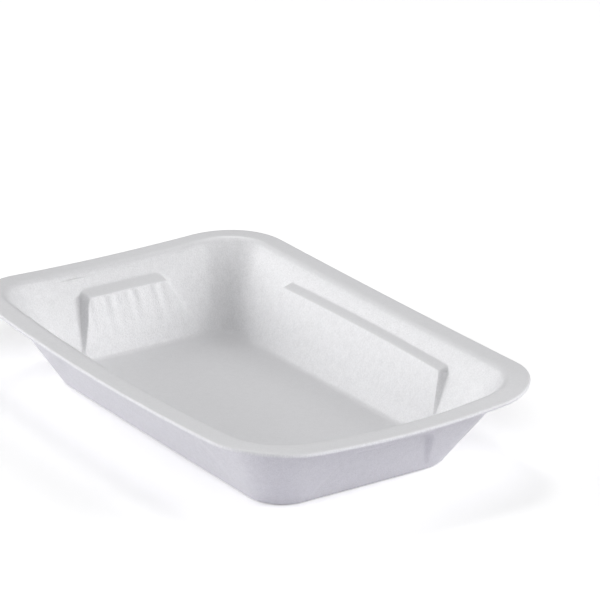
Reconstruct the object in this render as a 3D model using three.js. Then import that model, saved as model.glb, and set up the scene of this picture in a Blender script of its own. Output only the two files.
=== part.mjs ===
import * as THREE from "three";

// Foam meat tray: one sheet of polystyrene foam, thermoformed into a shallow tray with a flat flange.
// X runs along the long side, Y along the short side and Z up. The origin is under the middle of the
// base, on the surface that the tray stands on. Sizes are in millimetres.

// Flange. Length and width are taken at the corners, and the sides bow out past them.
const RIM_LENGTH = 213.4;
const RIM_WIDTH = 135.9;
const RIM_HEIGHT = 36.1;
const FLANGE_WIDTH = 9.4;
const FLANGE_THICKNESS = 1.8;
const LONG_SIDE_BOW = 2.8;
const SHORT_SIDE_BOW = 3.3;
const LONG_SIDE_SAG = 2.6;
const SHORT_SIDE_SAG = 3.3;

// Well. The corner radii are those of the inner face, under the flange and at the floor.
const WALL_THICKNESS = 2.5;
const FLOOR_LENGTH = 155.6;
const FLOOR_WIDTH = 81.8;
const RIM_CORNER_RADIUS = 16.3;
const FLOOR_CORNER_RADIUS = 13.9;
const FLOOR_FILLET = 3.5;
const BASE_FILLET = 2.6;
const RIM_FILLET = 4;

// Stacking panels: a steeper panel on each wall, with a ledge on top that the next tray rests on, and
// a shallower recess outside. Flare is how far each side edge spreads for each millimetre down.
const LONG_PANEL = {
  depth: 3.6,
  recess: 0.8,
  ledgeBelowRim: 8.6,
  footHeight: 7.8,
  ledgeWidth: 110.3,
  flare: 0.33,
};
const SHORT_PANEL = {
  depth: 5.6,
  recess: 2.2,
  ledgeBelowRim: 9.5,
  footHeight: 2.5,
  ledgeWidth: 39,
  flare: 0.4,
};
const LEDGE_FALL = 1;
const PANEL_EDGE_RUN = 1.1;
const LEAST_MARGIN = 0.8;

// How finely the curves are faceted.
const FILLET_STEPS = 4;
const CORNER_STEPS = 9;
const LONG_PANEL_STEPS = 6;
const SHORT_PANEL_STEPS = 4;
const PANEL_RISE_STEPS = 3;

const FOAM_COLOUR = 0xf1f1f4;
const FOAM_ROUGHNESS = 0.62;

// Half sizes of the floor's edge and of the flange's inner edge, and the wall that joins them.
const floorHalf = new THREE.Vector2(FLOOR_LENGTH / 2, FLOOR_WIDTH / 2);
const rimHalf = new THREE.Vector2(RIM_LENGTH / 2 - FLANGE_WIDTH, RIM_WIDTH / 2 - FLANGE_WIDTH);
const wallRun = (rimHalf.x - floorHalf.x + rimHalf.y - floorHalf.y) / 2;
const wallAngle = Math.atan2(RIM_HEIGHT - WALL_THICKNESS, wallRun);
const flangeUnderside = RIM_HEIGHT - FLANGE_THICKNESS;

// A section point is a Vector2: x is how far out it lies from the floor's edge, y is its height.
// Where the flange sags, the straight wall runs from the floor's edge to the lowered flange.
const section = (out, height) => new THREE.Vector2(out, height);
const innerWall = (height, sag = 0) => section(
  (wallRun * (height - WALL_THICKNESS)) / (RIM_HEIGHT - sag - WALL_THICKNESS),
  height,
);
const sheet = section(WALL_THICKNESS / Math.sin(wallAngle), 0);
const outerWall = (height, sag = 0) => innerWall(height, sag).add(sheet);

// The arc that rounds the corner of a section between its neighbours before and after.
function fillet(before, corner, after, radius, steps = FILLET_STEPS) {
  const back = before.clone().sub(corner).normalize();
  const on = after.clone().sub(corner).normalize();
  const halfAngle = Math.acos(THREE.MathUtils.clamp(back.dot(on), -1, 1)) / 2;
  const centre = corner.clone().addScaledVector(back.clone().add(on).normalize(), radius / Math.sin(halfAngle));
  const reach = radius / Math.tan(halfAngle);
  const first = corner.clone().addScaledVector(back, reach).sub(centre);
  const last = corner.clone().addScaledVector(on, reach).sub(centre);
  const turn = Math.atan2(first.cross(last), first.dot(last));
  return Array.from({ length: steps + 1 }, (_, i) =>
    first.clone().rotateAround(new THREE.Vector2(), (turn * i) / steps).add(centre));
}

// The corners of the section, from the floor up the inside, round the flange and down to the base.
const floorEdge = innerWall(WALL_THICKNESS);
const flangeInner = innerWall(RIM_HEIGHT);
const flangeTop = section(wallRun + FLANGE_WIDTH, RIM_HEIGHT);
const flangeBottom = section(wallRun + FLANGE_WIDTH, flangeUnderside);
const underFlange = outerWall(flangeUnderside);
const baseEdge = outerWall(0);
const middle = (height) => section(-floorHalf.x, height);
const edgeRadius = FLANGE_THICKNESS * 0.46;

const arcs = {
  floor: fillet(middle(WALL_THICKNESS), floorEdge, flangeInner, FLOOR_FILLET),
  rim: fillet(floorEdge, flangeInner, flangeTop, RIM_FILLET),
  edgeTop: fillet(flangeInner, flangeTop, flangeBottom, edgeRadius, 2),
  edgeBottom: fillet(flangeTop, flangeBottom, underFlange, edgeRadius, 2),
  underFlange: fillet(flangeBottom, underFlange, baseEdge, RIM_FILLET + WALL_THICKNESS),
  base: fillet(underFlange, baseEdge, middle(0), BASE_FILLET),
};

// A panel seen on one face of the sheet, with the heights of its foot, its ledge and the ledge's lip.
function panelFace(panel, inside) {
  const ledge = RIM_HEIGHT - panel.ledgeBelowRim - (inside ? 0 : WALL_THICKNESS);
  const filletEnd = inside ? arcs.floor[FILLET_STEPS].y : arcs.base[0].y;
  return {
    ...panel,
    ledge,
    ledgeLip: ledge - LEDGE_FALL,
    foot: inside ? panel.footHeight : filletEnd,
    riseFrom: Math.max(filletEnd, inside ? panel.footHeight : filletEnd),
    shape: inside ? (share) => panel.depth * share : (share) => panel.recess * Math.sqrt(share),
  };
}

// How far the panel stands in from the wall at a height, growing from the foot to the ledge's lip.
function panelDepth(face, height) {
  if (height > face.ledgeLip + 1e-6) return 0;
  return face.shape(Math.max(0, (height - face.foot) / (face.ledgeLip - face.foot)));
}

// One side's section as a list of stations. A station gives its section point for a sag, and has the
// panel face that shapes it.
function sideStations(panel) {
  const inside = panelFace(panel, true);
  const outside = panelFace(panel, false);
  const rise = (face, wall) => {
    const heights = Array.from({ length: PANEL_RISE_STEPS + 1 }, (_, i) =>
      THREE.MathUtils.lerp(face.riseFrom, face.ledgeLip, (i + 1) / (PANEL_RISE_STEPS + 1)));
    return [...heights, face.ledge].map((height) => ({ at: (sag) => wall(height, sag), face }));
  };
  const level = (points, face) => points.map((point) => ({ at: () => point, face }));
  const flange = (points, face) => points.map((point) => ({
    at: (sag) => section(point.x, point.y - sag),
    face,
  }));
  return [
    ...level(arcs.floor, inside),
    ...rise(inside, innerWall),
    ...flange(arcs.rim, inside),
    ...flange([...arcs.edgeTop, ...arcs.edgeBottom, ...arcs.underFlange], outside),
    ...rise(outside, outerWall).reverse(),
    ...level(arcs.base, outside),
  ];
}

// The plan outline that a section point lies on: a rounded rectangle whose sides bow out with height.
function outline(out) {
  const climb = THREE.MathUtils.clamp(out / wallRun, 0, 1);
  const past = out - climb * wallRun;
  return {
    half: floorHalf.clone().lerp(rimHalf, climb).addScalar(past),
    radius: THREE.MathUtils.lerp(FLOOR_CORNER_RADIUS, RIM_CORNER_RADIUS, climb) + past,
    bow: new THREE.Vector2(SHORT_SIDE_BOW, LONG_SIDE_BOW).multiplyScalar(climb),
  };
}

// Moves a plan point out by the bow, which is greatest in the middle of a side and nil at the corners.
function bowed(plan, { half, bow }) {
  const u = plan.x / half.x;
  const v = plan.y / half.y;
  return new THREE.Vector2(
    plan.x + bow.x * Math.sign(u) * u * u * (1 - v * v),
    plan.y + bow.y * Math.sign(v) * v * v * (1 - u * u),
  );
}

// How far the flange sags at a plan point.
function sagAt(plan, { half }) {
  const u = Math.min(Math.abs(plan.x / half.x), 1);
  const v = Math.min(Math.abs(plan.y / half.y), 1);
  return LONG_SIDE_SAG * (1 - u * u) * v * v + SHORT_SIDE_SAG * (1 - v * v) * u * u;
}

// The place of a section point on the plan that a rule gives for an outline, once the sag there is known.
function placed(pointAt, planOn) {
  const unsagged = outline(pointAt(0).x);
  const point = pointAt(sagAt(planOn(unsagged), unsagged));
  const shape = outline(point.x);
  const plan = bowed(planOn(shape), shape);
  return new THREE.Vector3(plan.x, plan.y, point.y);
}

// The columns of one side, as functions of the half length of the straight and of the panel at a height.
// Each gives the place along the side and whether the panel's face lies there.
function sideColumns(steps) {
  const between = (i) => -1 + (2 * i) / steps;
  return [
    { along: (straight) => -straight, onPanel: false },
    { along: (straight, panel) => -panel, onPanel: false },
    ...Array.from({ length: steps + 1 }, (_, i) => ({
      along: (straight, panel) => between(i) * (panel - PANEL_EDGE_RUN),
      onPanel: true,
    })),
    { along: (straight, panel) => panel, onPanel: false },
  ];
}

// A side's points for one station, for the sides that face +X, +Y, -X and -Y in that order.
function sidePoints({ at, face }, steps, side) {
  const facesX = side % 2 === 0;
  const turn = (side * Math.PI) / 2;
  const height = at(0).y;
  return sideColumns(steps).map(({ along, onPanel }) => {
    const planOn = ({ half, radius }) => {
      const straight = (facesX ? half.y : half.x) - radius;
      const flared = face.ledgeWidth / 2 + face.flare * Math.max(0, face.ledge - height);
      const panel = Math.min(flared, straight - LEAST_MARGIN);
      return new THREE.Vector2(facesX ? half.x : half.y, along(straight, panel))
        .rotateAround(new THREE.Vector2(), turn);
    };
    const depth = onPanel ? panelDepth(face, height) : 0;
    const inward = new THREE.Vector3(-depth, 0, 0).applyAxisAngle(new THREE.Vector3(0, 0, 1), turn);
    return placed(at, planOn).add(inward);
  });
}

// A corner's points, turning from one side's station to the next side's.
function cornerPoints(from, to, side) {
  return Array.from({ length: CORNER_STEPS }, (_, i) => {
    const share = i / CORNER_STEPS;
    const angle = ((side + share) * Math.PI) / 2;
    const quadrant = ((side + 0.5) * Math.PI) / 2;
    const planOn = ({ half, radius }) => new THREE.Vector2(
      Math.sign(Math.cos(quadrant)) * (half.x - radius) + radius * Math.cos(angle),
      Math.sign(Math.sin(quadrant)) * (half.y - radius) + radius * Math.sin(angle),
    );
    return placed((sag) => from.at(sag).clone().lerp(to.at(sag), share), planOn);
  });
}

// A closed ring of points round the tray for each station of the section.
function rings() {
  const short = sideStations(SHORT_PANEL);
  const long = sideStations(LONG_PANEL);
  return short.map((_, level) => {
    const sides = [short[level], long[level], short[level], long[level]];
    return sides.flatMap((station, side) => [
      ...sidePoints(station, side % 2 === 0 ? SHORT_PANEL_STEPS : LONG_PANEL_STEPS, side),
      ...cornerPoints(station, sides[(side + 1) % sides.length], side),
    ]);
  });
}

// Joins the rings into one closed skin, with a flat floor over the first and a flat base under the last.
function trayGeometry() {
  const loops = rings();
  const count = loops[0].length;
  const vertices = loops.flat();
  const triangles = [];
  const at = (level, column) => level * count + (column % count);
  for (let level = 0; level + 1 < loops.length; level += 1) {
    for (let column = 0; column < count; column += 1) {
      const [a, b] = [at(level, column), at(level, column + 1)];
      const [c, d] = [at(level + 1, column + 1), at(level + 1, column)];
      triangles.push(a, d, c, a, c, b);
    }
  }
  const floorMiddle = vertices.push(new THREE.Vector3(0, 0, WALL_THICKNESS)) - 1;
  const baseMiddle = vertices.push(new THREE.Vector3(0, 0, 0)) - 1;
  for (let column = 0; column < count; column += 1) {
    triangles.push(floorMiddle, at(0, column), at(0, column + 1));
    triangles.push(baseMiddle, at(loops.length - 1, column + 1), at(loops.length - 1, column));
  }
  const geometry = new THREE.BufferGeometry().setFromPoints(vertices);
  geometry.setIndex(triangles);
  geometry.computeVertexNormals();
  return geometry;
}

const foam = new THREE.MeshStandardMaterial({
  color: FOAM_COLOUR,
  roughness: FOAM_ROUGHNESS,
  metalness: 0,
});

const group = new THREE.Group();
const tray = new THREE.Mesh(trayGeometry(), foam);
tray.name = "foam_tray";
group.add(tray);

export default group;
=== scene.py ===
"""Foam meat tray: the thermoformed sheet, its foam skin, and a plain studio round it.

Sizes are in metres unless a comment says otherwise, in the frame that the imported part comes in.
"""
import math

import bpy
from bpy.props import FloatProperty, PointerProperty, StringProperty
from mathutils import Matrix, Vector


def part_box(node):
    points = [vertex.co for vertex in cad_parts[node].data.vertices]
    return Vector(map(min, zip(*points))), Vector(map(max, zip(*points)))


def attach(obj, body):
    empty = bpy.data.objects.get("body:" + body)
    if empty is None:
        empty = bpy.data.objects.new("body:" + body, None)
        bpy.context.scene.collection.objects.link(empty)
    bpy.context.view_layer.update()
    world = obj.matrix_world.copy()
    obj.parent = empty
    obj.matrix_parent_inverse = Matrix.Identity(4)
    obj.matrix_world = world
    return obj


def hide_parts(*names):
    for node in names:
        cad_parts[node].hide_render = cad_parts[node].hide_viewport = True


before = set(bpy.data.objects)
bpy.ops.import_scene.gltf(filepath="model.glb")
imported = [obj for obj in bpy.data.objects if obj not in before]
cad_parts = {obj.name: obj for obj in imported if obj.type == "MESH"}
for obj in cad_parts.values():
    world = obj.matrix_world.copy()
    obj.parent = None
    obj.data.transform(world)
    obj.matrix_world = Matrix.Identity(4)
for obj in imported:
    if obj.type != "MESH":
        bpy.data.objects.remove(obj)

bl_info = {
    "name": "Foam Meat Tray",
    "version": (1, 0, 0),
    "blender": (4, 5, 0),
    "location": "3D View > Sidebar > Foam Tray",
    "description": "A thermoformed foam tray with stacking panels, its foam skin and a plain studio",
    "category": "Add Mesh",
}

CAD_NODE = "foam_tray"
PHOTO_SIDE = 600
MM = 0.001

# Name of the point attribute that tells the foam's material how far the moulds drew each place.
DRAWN = "drawn"

cad_low, cad_high = (Vector(corner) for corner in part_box(CAD_NODE))
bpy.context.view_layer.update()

# The sides bow out past the corners, and the rim's corners stay a little under their full height.
LONG_SIDE_BOW = 2.8 * MM
SHORT_SIDE_BOW = 3.3 * MM
CORNER_DROP = 0.639 * MM


def length(name, description, default):
    """A size in metres that a user may change."""
    return FloatProperty(name=name, description=description, default=default, min=0.0,
                         subtype="DISTANCE", unit="LENGTH", precision=5)


class FoamTraySizes(bpy.types.PropertyGroup):
    """Sizes of the formed sheet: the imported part's, but for a tighter floor corner and rim curve."""
    rim_length: length("Rim length", "Flange, end to end at the corners",
                       cad_high.x - cad_low.x - 2 * SHORT_SIDE_BOW)
    rim_width: length("Rim width", "Flange, side to side at the corners",
                      cad_high.y - cad_low.y - 2 * LONG_SIDE_BOW)
    rim_height: length("Rim height", "Top of the flange before it sags", cad_high.z + CORNER_DROP)
    flange_width: length("Flange width", "Flat rim outside the wall", 9.4 * MM)
    flange_thickness: length("Flange thickness", "Pressed edge of the sheet", 1.8 * MM)
    long_side_bow: length("Long side bow", "How far a long side bows out", LONG_SIDE_BOW)
    short_side_bow: length("Short side bow", "How far a short side bows out", SHORT_SIDE_BOW)
    long_side_sag: length("Long side sag", "How far a long side sags", 2.6 * MM)
    short_side_sag: length("Short side sag", "How far a short side sags", 3.3 * MM)
    wall_thickness: length("Wall thickness", "Sheet in the floor and walls", 2.5 * MM)
    floor_length: length("Floor length", "Floor, end to end", 155.6 * MM)
    floor_width: length("Floor width", "Floor, side to side", 81.8 * MM)
    rim_corner_radius: length("Rim corner radius", "Inner wall's corner under the flange", 16.3 * MM)
    floor_corner_radius: length("Floor corner radius", "Inner wall's corner at the floor", 9.0 * MM)
    base_corner_radius: length("Base corner radius", "Wall's corner at the floor, outside", 13.9 * MM)
    floor_fillet: length("Floor fillet", "Curve from the floor to the wall", 3.5 * MM)
    base_fillet: length("Base fillet", "Curve from the wall outside to the base", 2.6 * MM)
    rim_fillet: length("Rim fillet", "Curve from the wall to the flange", 3.6 * MM)


class StackingPanelSizes(bpy.types.PropertyGroup):
    """Sizes of the panels in the walls, with ledges for the next tray and recesses outside."""
    long_depth: length("Long panel depth", "How far the long wall's ledge stands in", 3.6 * MM)
    short_depth: length("Short panel depth", "How far the short wall's ledge stands in", 5.6 * MM)
    long_recess: length("Long recess depth", "Recess outside the long wall", 0.8 * MM)
    short_recess: length("Short recess depth", "Recess outside the short wall", 2.2 * MM)
    long_ledge_below_rim: length("Long ledge below rim", "From the rim to the ledge", 8.6 * MM)
    short_ledge_below_rim: length("Short ledge below rim", "From the rim to the ledge", 9.5 * MM)
    long_foot_height: length("Long foot height", "From the base to the panel's foot", 7.8 * MM)
    short_foot_height: length("Short foot height", "From the base to the panel's foot", 2.5 * MM)
    long_ledge_width: length("Long ledge width", "Along the long wall", 110.3 * MM)
    short_ledge_width: length("Short ledge width", "Along the short wall", 39.0 * MM)
    long_flare: FloatProperty(name="Long flare", description="Spread of a side edge over its fall",
                              default=0.33, min=0.0)
    short_flare: FloatProperty(name="Short flare", description="Spread of a side edge over its fall",
                               default=0.4, min=0.0)
    panel_edge: length("Panel edge", "Width of a panel's rounded edge", 1.7 * MM)
    corner_radius: length("Panel corner radius", "Rounding of the panel's top corners", 2.6 * MM)
    long_recess_edge: length("Long recess edge", "Width of the long recess's soft edge", 7.0 * MM)
    short_recess_edge: length("Short recess edge", "Width of the short recess's edge", 3.0 * MM)
    least_margin: length("Least margin", "Plain wall kept between a panel and a corner", 0.8 * MM)
    flute_depth: length("Flute depth", "Stretch folds under a short ledge", 0.15 * MM)
    flute_spacing: length("Flute spacing", "From fold to fold", 6.9 * MM)
    flute_reach: length("Flute reach", "How far down the folds run", 19.0 * MM)


class FoamSkinLook(bpy.types.PropertyGroup):
    """Colour and grain of the foam."""
    foam_colour: StringProperty(name="Foam colour", description="sRGB hex colour of the foam",
                                default="E4E4E6")
    cell_size: length("Cell size", "Foam cells that show through the skin", 0.45 * MM)
    mottle_size: length("Mottle size", "Cloudy patches in the sheet", 2.2 * MM)
    mottle_share: FloatProperty(name="Mottle share", description="Strength of the mottle beside the cells",
                                default=0.4, min=0.0)
    grain_tint: FloatProperty(name="Grain tint", description="Depth of the grain's tone on the walls",
                              default=0.3, min=0.0)
    flat_tint: FloatProperty(name="Flat tint", description="Depth of the grain's tone on the floor",
                             default=0.14, min=0.0)
    grain_relief: FloatProperty(name="Grain relief", description="Relief of the walls' grain in mm",
                                default=0.14, min=0.0)
    flat_relief: FloatProperty(name="Flat relief", description="Relief of the floor's grain in mm",
                               default=0.02, min=0.0)
    roughness: FloatProperty(name="Roughness", description="Roughness of the foam's skin",
                             default=0.4, min=0.0, max=1.0, subtype="FACTOR")
    scatter_share: FloatProperty(name="Scatter share", description="Share of light that the foam scatters",
                                 default=0.15, min=0.0, max=1.0, subtype="FACTOR")
    scatter_depth: length("Scatter depth", "How far light travels inside the foam", 0.8 * MM)


class StudioLook(bpy.types.PropertyGroup):
    """Camera, lamps, paper and surroundings."""
    camera_azimuth: FloatProperty(name="Camera azimuth", description="Turn from the front towards +X",
                                  default=math.radians(56.055), subtype="ANGLE", unit="ROTATION")
    camera_elevation: FloatProperty(name="Camera elevation", description="Angle above the floor",
                                    default=math.radians(21.144), subtype="ANGLE", unit="ROTATION")
    camera_roll: FloatProperty(name="Camera roll", description="Turn about the line of sight",
                               default=math.radians(0.061), subtype="ANGLE", unit="ROTATION")
    camera_distance: length("Camera distance", "From the tray's middle", 1.5427)
    camera_right: length("Camera right", "Offset to the camera's right", 0.01978)
    camera_up: length("Camera up", "Offset to the camera's top", 0.04575)
    focal_pixels: FloatProperty(name="Focal length in pixels", description="In the photograph's pixels",
                                default=3960.9, min=100.0)
    lamp_level: FloatProperty(name="Lamp level", description="Factor on every lamp",
                              default=1.0, min=0.0)
    lamp_distance: length("Lamp distance", "From the tray to every lamp", 1.5)
    fill_level: FloatProperty(name="Fill level", description="Light from all round the studio",
                              default=0.02, min=0.0)
    paper_colour: StringProperty(name="Paper colour", description="sRGB hex colour that lights the tray",
                                 default="DCDAE4")
    paper_glow: FloatProperty(name="Paper glow", description="Lifts the paper to white for the camera",
                              default=0.24, min=0.0)


def srgb(code):
    """Linear colour, with alpha, of an sRGB hex code."""
    channels = [int(code[i:i + 2], 16) / 255 for i in (0, 2, 4)]
    linear = [c / 12.92 if c <= 0.04045 else ((c + 0.055) / 1.055) ** 2.4 for c in channels]
    return (*linear, 1.0)


def smooth(value):
    """Smooth step from 0 to 1."""
    value = min(max(value, 0.0), 1.0)
    return value * value * (3 - 2 * value)


def mix(start, end, share):
    return start + (end - start) * share


def between(steps):
    """Shares of the way at the steps between the two ends."""
    return [i / steps for i in range(1, steps)]


def fillet(before, corner, after, radius, steps):
    """Points of the arc that rounds a corner of the section."""
    back = (before - corner).normalized()
    on = (after - corner).normalized()
    half_angle = math.acos(max(-1.0, min(1.0, back.dot(on)))) / 2
    centre = corner + (back + on).normalized() * radius / math.sin(half_angle)
    reach = radius / math.tan(half_angle)
    first = corner + back * reach - centre
    last = corner + on * reach - centre
    turn = math.atan2(first.x * last.y - first.y * last.x, first.dot(last))
    return [centre + Matrix.Rotation(turn * i / steps, 2) @ first for i in range(steps + 1)]


class PanelFace:
    """A stacking panel as it shows on one face of the sheet."""

    # The folds come in over this height below the ledge's edge, and a second wave makes them uneven.
    FOLD_START = 1.0 * MM
    SECOND_WAVE_SHARE = 0.6
    SECOND_WAVE_PACE = 1.6
    SECOND_WAVE_SHIFT = 1.1

    def __init__(self, sizes, panels, side, inside, fillet_end):
        self.inside = inside
        self.ledge = sizes.rim_height - getattr(panels, side + "_ledge_below_rim")
        self.ledge -= 0 if inside else sizes.wall_thickness
        self.half_width = getattr(panels, side + "_ledge_width") / 2
        self.flare = getattr(panels, side + "_flare")
        self.least_margin = panels.least_margin
        self.flute_depth = panels.flute_depth if inside and side == "short" else 0.0
        self.flute_spacing = panels.flute_spacing
        self.flute_reach = panels.flute_reach
        if inside:
            self.depth = getattr(panels, side + "_depth")
            self.foot = getattr(panels, side + "_foot_height")
            self.edge = panels.panel_edge
            self.corner = panels.corner_radius
        else:
            self.depth = getattr(panels, side + "_recess")
            self.foot = fillet_end
            self.edge = getattr(panels, side + "_recess_edge")
            self.corner = panels.corner_radius + self.edge
        self.run = self.ledge - self.edge - self.foot
        self.rise_from = max(self.foot, fillet_end)

    def half_at(self, height, straight):
        """Half width of the panel at a height, kept clear of the rounded corner."""
        half = self.half_width + self.flare * max(self.ledge - height, 0.0)
        return min(half, straight - self.least_margin)

    def fold(self, height, along, slope):
        """Height of the folds that the ledge's drawing left, at a place along the panel."""
        below = self.ledge - self.edge * slope - height
        fade = smooth(below / self.FOLD_START) * smooth(1 - below / self.flute_reach)
        turn = 2 * math.pi * along / self.flute_spacing
        second = math.sin(self.SECOND_WAVE_PACE * turn + self.SECOND_WAVE_SHIFT)
        return self.flute_depth * fade * (math.sin(turn) + self.SECOND_WAVE_SHARE * second)

    def inset_depth(self, height, from_side, along, slope):
        """How far the face stands in at a height, a distance from the side edge and a place along."""
        if height >= self.ledge or from_side <= 0 or height <= self.foot:
            return 0.0
        from_top = (self.ledge - height) / slope
        if from_top < self.corner and from_side < self.corner:
            within = self.corner - math.hypot(self.corner - from_top, self.corner - from_side)
        else:
            within = min(from_top, from_side)
        depth = self.depth * (height - self.foot) / self.run + self.fold(height, along, slope)
        return depth * smooth(within / self.edge)


class TrayForm:
    """The formed sheet as closed loops of points from the middle of the floor to that of the base."""

    FILLET_STEPS = 8
    EDGE_STEPS = 5
    CORNER_STEPS = 26
    FLOOR_LOOPS = 9
    # Loops up a panel's plain face, past its rounded corners and over its edge, then up to the rim.
    PANEL_STEPS = (14, 8, 10)
    ABOVE_PANEL_STEPS = 6
    ACROSS_FLANGE_STEPS = 6
    UNDER_FLANGE_STEPS = 4
    # Points along half a side: plain wall, panel's edge, panel's rounded corner, then to the middle.
    SHORT_SIDE_STEPS = (7, 8, 7, 20)
    LONG_SIDE_STEPS = (7, 8, 7, 18)
    # Radius of the flange's rounded edge, as a share of the edge's thickness.
    EDGE_SHARE = 0.46

    def __init__(self, sizes, panels):
        self.sizes = sizes
        self.panels = panels
        self.floor_half = Vector((sizes.floor_length / 2, sizes.floor_width / 2))
        self.rim_half = Vector((sizes.rim_length / 2 - sizes.flange_width,
                                sizes.rim_width / 2 - sizes.flange_width))
        spread = self.rim_half - self.floor_half
        self.run = (spread.x + spread.y) / 2
        self.angle = math.atan2(sizes.rim_height - sizes.wall_thickness, self.run)
        self.underside = sizes.rim_height - sizes.flange_thickness
        self.arcs = self.section_arcs()

    def inner_wall(self, height, sag=0.0):
        """The wall's inner face at a height, where the flange has sagged by an amount."""
        sizes = self.sizes
        climb = (height - sizes.wall_thickness) / (sizes.rim_height - sag - sizes.wall_thickness)
        return Vector((self.run * climb, height))

    def outer_wall(self, height, sag=0.0):
        sheet = Vector((self.sizes.wall_thickness / math.sin(self.angle), 0.0))
        return self.inner_wall(height, sag) + sheet

    def section_arcs(self):
        """The rounded corners of the section, each as a list of points."""
        sizes = self.sizes
        rim_out = self.run + sizes.flange_width
        floor_edge = self.inner_wall(sizes.wall_thickness)
        flange_inner = self.inner_wall(sizes.rim_height)
        flange_top = Vector((rim_out, sizes.rim_height))
        flange_bottom = Vector((rim_out, self.underside))
        under_flange = self.outer_wall(self.underside)
        base_edge = self.outer_wall(0)
        floor_middle = Vector((-self.floor_half.x, sizes.wall_thickness))
        base_middle = Vector((-self.floor_half.x, 0))
        edge = self.EDGE_SHARE * sizes.flange_thickness
        thick = sizes.wall_thickness
        steps = self.FILLET_STEPS
        edge_steps = self.EDGE_STEPS
        return {
            "floor": fillet(floor_middle, floor_edge, flange_inner, sizes.floor_fillet, steps),
            "rim": fillet(floor_edge, flange_inner, flange_top, sizes.rim_fillet, steps),
            "edge_top": fillet(flange_inner, flange_top, flange_bottom, edge, edge_steps),
            "edge_bottom": fillet(flange_top, flange_bottom, under_flange, edge, edge_steps),
            "under": fillet(flange_bottom, under_flange, base_edge, sizes.rim_fillet + thick, steps),
            "base": fillet(under_flange, base_edge, base_middle, sizes.base_fillet, steps),
        }

    def side_stations(self, side):
        """The section of one side as (section point for a sag, panel face) stations."""
        inside = PanelFace(self.sizes, self.panels, side, True, self.arcs["floor"][-1].y)
        outside = PanelFace(self.sizes, self.panels, side, False, self.arcs["base"][0].y)
        slope = math.sin(self.angle)

        def level(points, face):
            return [(lambda sag, point=point: point, face) for point in points]

        def flange(points, face):
            return [(lambda sag, point=point: Vector((point.x, point.y - sag)), face) for point in points]

        def rise(face, wall):
            low_corner = face.ledge - (face.corner + face.edge) * slope
            low_edge = face.ledge - face.edge * slope
            marks = (face.rise_from, low_corner, low_edge, face.ledge)
            heights = [mix(low, high, i / count)
                       for low, high, count in zip(marks, marks[1:], self.PANEL_STEPS)
                       for i in range(1, count + 1)]
            return [(lambda sag, height=height: wall(height, sag), face) for height in heights]

        def top(face, wall, end):
            def at(sag, share):
                return wall(mix(face.ledge, end - sag, share), sag)
            return [(lambda sag, share=share: at(sag, share), face)
                    for share in between(self.ABOVE_PANEL_STEPS)]

        across = [self.arcs["rim"][-1].lerp(self.arcs["edge_top"][0], share)
                  for share in between(self.ACROSS_FLANGE_STEPS)]
        under = [self.arcs["edge_bottom"][-1].lerp(self.arcs["under"][0], share)
                 for share in between(self.UNDER_FLANGE_STEPS)]
        return [
            *level(self.arcs["floor"], inside),
            *rise(inside, self.inner_wall),
            *top(inside, self.inner_wall, self.arcs["rim"][0].y),
            *flange(self.arcs["rim"], inside),
            *flange([*across, *self.arcs["edge_top"], *self.arcs["edge_bottom"], *under], outside),
            *flange(self.arcs["under"], outside),
            *reversed(top(outside, self.outer_wall, self.arcs["under"][-1].y)),
            *reversed(rise(outside, self.outer_wall)),
            *level(self.arcs["base"], outside),
        ]

    def outline(self, out, inside):
        """Half size, corner radius and bow of the plan outline at a distance out from the floor's edge."""
        low_radius = self.sizes.floor_corner_radius if inside else self.sizes.base_corner_radius
        climb = min(max(out / self.run, 0.0), 1.0)
        past = out - climb * self.run
        half = self.floor_half.lerp(self.rim_half, climb) + Vector((past, past))
        radius = mix(low_radius, self.sizes.rim_corner_radius, climb) + past
        bow = Vector((self.sizes.short_side_bow, self.sizes.long_side_bow)) * climb
        return half, radius, bow

    def sag_at(self, plan, half):
        """How far the flange sags at a plan point."""
        u2 = min((plan.x / half.x) ** 2, 1.0)
        v2 = min((plan.y / half.y) ** 2, 1.0)
        return self.sizes.long_side_sag * (1 - u2) * v2 + self.sizes.short_side_sag * (1 - v2) * u2

    def placed(self, point_at, inside, plan_on):
        """The place of a station on a plan rule, once the sag there is known."""
        half, radius, bow = self.outline(point_at(0.0).x, inside)
        point = point_at(self.sag_at(plan_on(half, radius), half))
        half, radius, bow = self.outline(point.x, inside)
        plan = plan_on(half, radius)
        u = plan.x / half.x
        v = plan.y / half.y
        return Vector((plan.x + bow.x * math.copysign(u * u, u) * (1 - v * v),
                       plan.y + bow.y * math.copysign(v * v, v) * (1 - u * u), point.y))

    def side_loop(self, station, side):
        """One side's points for one station. Sides face +X, +Y, -X and -Y in that order."""
        point_at, face = station
        faces_x = side % 2 == 0
        height = point_at(0.0).y
        turn = Matrix.Rotation(side * math.pi / 2, 2)
        slope = math.sin(self.angle)

        def stretch(straight):
            edge = face.half_at(height, straight)
            corner = edge - face.edge - face.corner
            return straight, edge, edge - face.edge, corner, 0.0

        counts = self.SHORT_SIDE_STEPS if faces_x else self.LONG_SIDE_STEPS
        steps = [(part, i / count) for part, count in enumerate(counts) for i in range(count)]
        marks = [(-1, *step) for step in steps] + [(1, 3, 1.0)] + [(1, *step) for step in reversed(steps)]
        loop = []
        for sign, part, share in marks:
            def plan_on(half, radius):
                places = stretch((half.y if faces_x else half.x) - radius)
                along = sign * mix(places[part], places[part + 1], share)
                return turn @ Vector((half.x if faces_x else half.y, along))

            half, radius, bow = self.outline(point_at(0.0).x, face.inside)
            places = stretch((half.y if faces_x else half.x) - radius)
            along = mix(places[part], places[part + 1], share)
            depth = face.inset_depth(height, places[1] - along, sign * along, slope)
            inward = turn @ Vector((-depth, 0.0))
            loop.append(self.placed(point_at, face.inside, plan_on) + Vector((inward.x, inward.y, 0.0)))
        return loop

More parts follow.
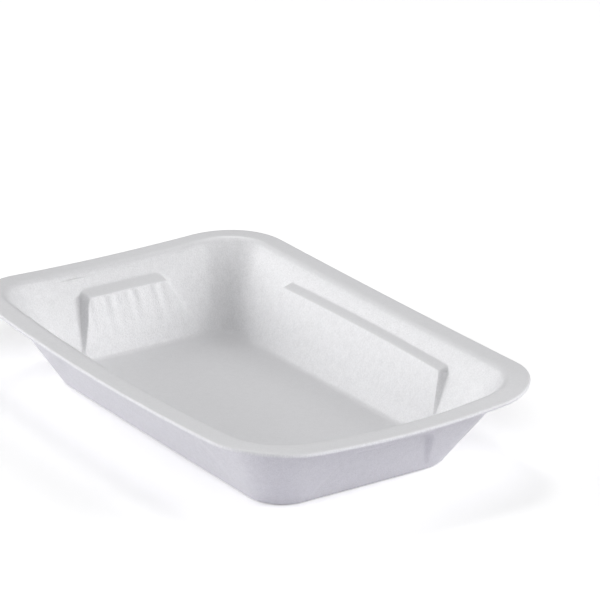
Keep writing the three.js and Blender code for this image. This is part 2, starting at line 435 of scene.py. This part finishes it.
    def corner_loop(self, start, end, side):
        """The points of the corner from one side's station to the next side's."""
        quadrant = (side + 0.5) * math.pi / 2
        loop = []
        for i in range(1, self.CORNER_STEPS):
            share = i / self.CORNER_STEPS
            angle = (side + share) * math.pi / 2

            def point_at(sag):
                return start[0](sag).lerp(end[0](sag), share)

            def plan_on(half, radius):
                return Vector((
                    math.copysign(half.x - radius, math.cos(quadrant)) + radius * math.cos(angle),
                    math.copysign(half.y - radius, math.sin(quadrant)) + radius * math.sin(angle)))

            loop.append(self.placed(point_at, start[1].inside, plan_on))
        return loop

    def loops(self):
        """Every closed loop, from the floor's edge over the rim to the base's edge."""
        stations = {side: self.side_stations(side) for side in ("short", "long")}
        result = []
        for level in zip(stations["short"], stations["long"]):
            loop = []
            for side in range(4):
                loop += self.side_loop(level[side % 2], side)
                loop += self.corner_loop(level[side % 2], level[(side + 1) % 2], side)
            result.append(loop)
        return result


def closed_sheet(loops, rings):
    """Vertices and faces of the skin: the loops, with the floor and base filled by shrinking rings."""
    def filled(loop):
        height = loop[0].z
        return [[Vector((p.x * i / rings, p.y * i / rings, height)) for p in loop]
                for i in range(1, rings)]

    every = [*filled(loops[0]), *loops, *reversed(filled(loops[-1]))]
    count = len(loops[0])
    vertices = [point for loop in every for point in loop]
    faces = []
    for level in range(len(every) - 1):
        for i in range(count):
            j = (i + 1) % count
            faces.append((level * count + i, (level + 1) * count + i,
                          (level + 1) * count + j, level * count + j))
    last = (len(every) - 1) * count
    vertices += [Vector((0, 0, loops[0][0].z)), Vector((0, 0, loops[-1][0].z))]
    top, bottom = len(vertices) - 2, len(vertices) - 1
    for i in range(count):
        j = (i + 1) % count
        faces.append((top, i, j))
        faces.append((bottom, last + j, last + i))
    return vertices, faces


def add_node(tree, kind, settings=None, links=None):
    """A shader node with its settings, its socket values and the outputs that feed it.

    A socket is named, or numbered where its name isn't the only one of its kind.
    """
    node = tree.nodes.new(kind)
    for name, value in (settings or {}).items():
        if isinstance(name, int) or name in node.inputs:
            node.inputs[name].default_value = value
        else:
            setattr(node, name, value)
    for name, output in (links or {}).items():
        tree.links.new(output, node.inputs[name])
    return node


def new_material(name):
    material = bpy.data.materials.new(name)
    material.use_nodes = True
    material.node_tree.nodes.clear()
    return material


# Marks of handling, in millimetres: the ends of each, its reach to either side, and its height.
HANDLING_MARKS = (
    ((-97.4, -28.0, 30.7), (-97.4, -12.0, 30.3), (0.6, 3.0), 0.35),
    ((94.9, -20.1, 22.2), (84.6, -25.0, 7.6), (2.5, 0.35), 0.3),
)


def foam_skin(look):
    """Extruded polystyrene foam, pressed between warm moulds.

    Its closed cells scatter light, so it is a soft white with a satin skin. Where the moulds drew the
    sheet down into the walls, the cells are stretched and show as an upright grain. The floor and the
    flange were only pressed flat and stay smoother. Cells are drawn a little coarser than real ones,
    which are about a third of a millimetre, so that they show.
    """
    material = new_material("polystyrene_foam_thermoformed")
    tree = material.node_tree
    place = add_node(tree, "ShaderNodeTexCoord").outputs["Object"]
    drawn = add_node(tree, "ShaderNodeAttribute", {"attribute_name": DRAWN}).outputs["Fac"]

    upright = add_node(tree, "ShaderNodeMapping", {"Scale": (1, 1, 0.5)}, {"Vector": place})
    pattern = {}
    for name, size in (("cells", look.cell_size), ("mottle", look.mottle_size)):
        noise = add_node(tree, "ShaderNodeTexNoise", {"Scale": 1 / size, "Detail": 2.0},
                         {"Vector": upright.outputs["Vector"]})
        pattern[name] = add_node(tree, "ShaderNodeMath", {"operation": "SUBTRACT", 1: 0.5},
                                 {0: noise.outputs["Fac"]}).outputs[0]
    grain = add_node(tree, "ShaderNodeMath", {"operation": "MULTIPLY_ADD", 1: look.mottle_share},
                     {0: pattern["mottle"], 2: pattern["cells"]}).outputs[0]

    tint_depth = add_node(tree, "ShaderNodeMapRange",
                          {"To Min": look.flat_tint, "To Max": look.grain_tint},
                          {"Value": drawn}).outputs["Result"]
    tint = add_node(tree, "ShaderNodeMath", {"operation": "MULTIPLY_ADD", 2: 1.0},
                    {0: grain, 1: tint_depth}).outputs[0]
    colour = add_node(tree, "ShaderNodeVectorMath",
                      {"operation": "SCALE", 0: srgb(look.foam_colour)[:3]}, {"Scale": tint})

    grain_depth = add_node(tree, "ShaderNodeMapRange",
                           {"To Min": look.flat_relief, "To Max": look.grain_relief},
                           {"Value": drawn}).outputs["Result"]
    height = add_node(tree, "ShaderNodeMath", {"operation": "MULTIPLY"},
                      {0: grain, 1: grain_depth}).outputs[0]
    for start, end, across, rise in HANDLING_MARKS:
        along = Vector(end) - Vector(start)
        reach = Vector((*across, along.length / 2)) * MM
        near = add_node(tree, "ShaderNodeMapping",
                        {"vector_type": "TEXTURE", "Location": (Vector(start) + along / 2) * MM,
                         "Rotation": along.to_track_quat("Z", "X").to_euler(), "Scale": reach},
                        {"Vector": place}).outputs["Vector"]
        far = add_node(tree, "ShaderNodeVectorMath", {"operation": "LENGTH"}, {0: near}).outputs["Value"]
        mark = add_node(tree, "ShaderNodeMapRange",
                        {"interpolation_type": "SMOOTHSTEP", "From Min": 1.0, "From Max": 0.0,
                         "To Max": rise}, {"Value": far}).outputs["Result"]
        height = add_node(tree, "ShaderNodeMath", {"operation": "ADD"}, {0: height, 1: mark}).outputs[0]
    bump = add_node(tree, "ShaderNodeBump", {"Strength": 1.0, "Distance": MM}, {"Height": height})
    shader = add_node(tree, "ShaderNodeBsdfPrincipled",
                      {"Roughness": look.roughness, "IOR": 1.5,
                       "Subsurface Weight": look.scatter_share,
                       "Subsurface Scale": look.scatter_depth,
                       "Subsurface Radius": (1.0, 1.0, 1.0)},
                      {"Base Color": colour.outputs["Vector"], "Normal": bump.outputs["Normal"]})
    add_node(tree, "ShaderNodeOutputMaterial", links={"Surface": shader.outputs["BSDF"]})
    return material


def studio_floor(look):
    """A matte paper sweep: white to the camera, and a plain grey reflector to the tray."""
    material = new_material("paper_sweep_matte")
    tree = material.node_tree
    path = add_node(tree, "ShaderNodeLightPath").outputs
    seen = add_node(tree, "ShaderNodeMath", {"operation": "ADD"},
                    {0: path["Is Camera Ray"], 1: path["Is Glossy Ray"]}).outputs[0]
    seen = add_node(tree, "ShaderNodeMath", {"operation": "ADD", "use_clamp": True},
                    {0: seen, 1: path["Is Transmission Ray"]}).outputs[0]
    colour = add_node(tree, "ShaderNodeMix",
                      {"data_type": "RGBA", 6: srgb(look.paper_colour), 7: (1, 1, 1, 1)},
                      {"Factor": seen})
    paper = add_node(tree, "ShaderNodeBsdfDiffuse", links={"Color": colour.outputs[2]})
    strength = add_node(tree, "ShaderNodeMath", {"operation": "MULTIPLY", 1: look.paper_glow},
                        {0: seen})
    glow = add_node(tree, "ShaderNodeEmission", links={"Strength": strength.outputs[0]})
    both = add_node(tree, "ShaderNodeAddShader", links={0: paper.outputs[0], 1: glow.outputs[0]})
    add_node(tree, "ShaderNodeOutputMaterial", links={"Surface": both.outputs[0]})
    return material


class FOAMTRAY_OT_tray(bpy.types.Operator):
    """Form the tray's sheet and give it its foam skin"""
    bl_idname = "foamtray.tray"
    bl_label = "Foam Tray"

    # Where a normal's upright part is above the first, the sheet was only pressed flat. It counts as
    # fully drawn once that part has fallen by the second.
    FLAT_NORMAL = 0.93
    DRAWN_SPAN = 0.3

    def execute(self, context):
        settings = context.scene
        form = TrayForm(settings.foam_tray_sizes, settings.stacking_panel_sizes)
        vertices, faces = closed_sheet(form.loops(), form.FLOOR_LOOPS)
        mesh = bpy.data.meshes.new("tray_sheet")
        mesh.from_pydata([tuple(v) for v in vertices], [], faces)
        mesh.polygons.foreach_set("use_smooth", [True] * len(mesh.polygons))
        mesh.update()
        self.mark_forming(mesh)
        tray = bpy.data.objects.new("tray_sheet", mesh)
        context.scene.collection.objects.link(tray)
        tray.data.materials.append(foam_skin(settings.foam_skin_look))
        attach(tray, "root")
        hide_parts(CAD_NODE)
        return {"FINISHED"}

    def mark_forming(self, mesh):
        """Store how far each point was drawn, which is most where the sheet slopes."""
        drawn = mesh.attributes.new(DRAWN, "FLOAT", "POINT")
        for vertex in mesh.vertices:
            slope = self.FLAT_NORMAL - abs(vertex.normal.z)
            drawn.data[vertex.index].value = smooth(slope / self.DRAWN_SPAN)


class FOAMTRAY_OT_studio(bpy.types.Operator):
    """Set up the floor, lamps, surroundings and camera"""
    bl_idname = "foamtray.studio"
    bl_label = "Studio"

    # How far the floor reaches from the tray, and the camera's sensor width in millimetres.
    FLOOR_REACH = 4.0
    SENSOR_WIDTH = 36.0

    def execute(self, context):
        look = context.scene.studio_look
        self.add_floor(context, look)
        self.add_camera(context, look)
        self.add_lamps(context, look)
        self.set_world(context, look)
        context.scene.view_settings.view_transform = "Standard"
        return {"FINISHED"}

    def add_floor(self, context, look):
        reach = self.FLOOR_REACH
        mesh = bpy.data.meshes.new("studio_floor")
        corners = [(-reach, -reach, 0), (reach, -reach, 0), (reach, reach, 0), (-reach, reach, 0)]
        mesh.from_pydata(corners, [], [(0, 1, 2, 3)])
        floor = bpy.data.objects.new("studio_floor", mesh)
        floor.data.materials.append(studio_floor(look))
        context.scene.collection.objects.link(floor)

    def add_camera(self, context, look):
        azimuth, elevation, roll = look.camera_azimuth, look.camera_elevation, look.camera_roll
        back = Vector((math.sin(azimuth) * math.cos(elevation), -math.cos(azimuth) * math.cos(elevation),
                       math.sin(elevation)))
        right = Vector((math.cos(azimuth), math.sin(azimuth), 0))
        up = back.cross(right)
        place = back * look.camera_distance + right * look.camera_right + up * look.camera_up
        rolled_right = math.cos(roll) * right + math.sin(roll) * up
        rolled_up = math.cos(roll) * up - math.sin(roll) * right
        data = bpy.data.cameras.new("camera")
        data.sensor_width = self.SENSOR_WIDTH
        data.lens = look.focal_pixels / PHOTO_SIDE * data.sensor_width
        camera = bpy.data.objects.new("camera", data)
        turn = Matrix((rolled_right, rolled_up, back)).transposed().to_4x4()
        camera.matrix_world = Matrix.Translation(place) @ turn
        context.scene.collection.objects.link(camera)
        context.scene.camera = camera

    def add_lamps(self, context, look):
        azimuth = look.camera_azimuth
        right = Vector((math.cos(azimuth), math.sin(azimuth), 0))
        away = Vector((-math.sin(azimuth), math.cos(azimuth), 0))
        up = Vector((0, 0, 1))
        # Name, degrees round from behind the tray to the right, degrees up, width, height and watts.
        softboxes = (
            ("left_softbox", 264, 16, 0.9, 0.6, 11.4),
            ("left_back_softbox", 300, 25, 0.9, 0.75, 7.6),
            ("back_softbox", 345, 60, 0.35, 0.35, 3.9),
            ("right_softbox", 97, 27, 1.0, 0.9, 17.0),
            ("front_softbox", 178, 35, 0.6, 0.6, 6.4),
        )
        for name, round_by, up_by, width, height, watts in softboxes:
            turn, rise = math.radians(round_by), math.radians(up_by)
            level = away * math.cos(turn) + right * math.sin(turn)
            place = (level * math.cos(rise) + up * math.sin(rise)) * look.lamp_distance
            data = bpy.data.lights.new(name, "AREA")
            data.shape = "RECTANGLE"
            data.size = width
            data.size_y = height
            data.energy = watts * look.lamp_level
            lamp = bpy.data.objects.new(name, data)
            lamp.location = place
            lamp.rotation_mode = "QUATERNION"
            lamp.rotation_quaternion = place.to_track_quat("Z", "Y")
            context.scene.collection.objects.link(lamp)

    def set_world(self, context, look):
        world = bpy.data.worlds.new("studio_surroundings")
        context.scene.world = world
        world.use_nodes = True
        tree = world.node_tree
        tree.nodes.clear()
        path = add_node(tree, "ShaderNodeLightPath")
        strength = add_node(tree, "ShaderNodeMix",
                            {"data_type": "FLOAT", 2: look.fill_level, 3: 1.0},
                            {"Factor": path.outputs["Is Camera Ray"]})
        glow = add_node(tree, "ShaderNodeBackground", {"Color": (1, 1, 1, 1)},
                        {"Strength": strength.outputs[0]})
        add_node(tree, "ShaderNodeOutputWorld", links={"Surface": glow.outputs["Background"]})


class FOAMTRAY_PT_panel(bpy.types.Panel):
    """Foam tray tools"""
    bl_label = "Foam Tray"
    bl_idname = "FOAMTRAY_PT_panel"
    bl_space_type = "VIEW_3D"
    bl_region_type = "UI"
    bl_category = "Foam Tray"

    def draw(self, context):
        for operator in OPERATORS:
            self.layout.operator(operator.bl_idname)
        for name in SETTINGS:
            box = self.layout.box()
            group = getattr(context.scene, name)
            for prop in group.bl_rna.properties.keys():
                if prop not in ("rna_type", "name"):
                    box.prop(group, prop)


OPERATORS = (FOAMTRAY_OT_tray, FOAMTRAY_OT_studio)
SETTINGS = {
    "foam_tray_sizes": FoamTraySizes,
    "stacking_panel_sizes": StackingPanelSizes,
    "foam_skin_look": FoamSkinLook,
    "studio_look": StudioLook,
}
CLASSES = (*SETTINGS.values(), *OPERATORS, FOAMTRAY_PT_panel)


def register():
    for cls in CLASSES:
        bpy.utils.register_class(cls)
    for name, group in SETTINGS.items():
        setattr(bpy.types.Scene, name, PointerProperty(type=group))


def unregister():
    for name in SETTINGS:
        delattr(bpy.types.Scene, name)
    for cls in reversed(CLASSES):
        bpy.utils.unregister_class(cls)


def main():
    register()
    bpy.ops.foamtray.studio()
    bpy.ops.foamtray.tray()


if __name__ == "__main__":
    main()
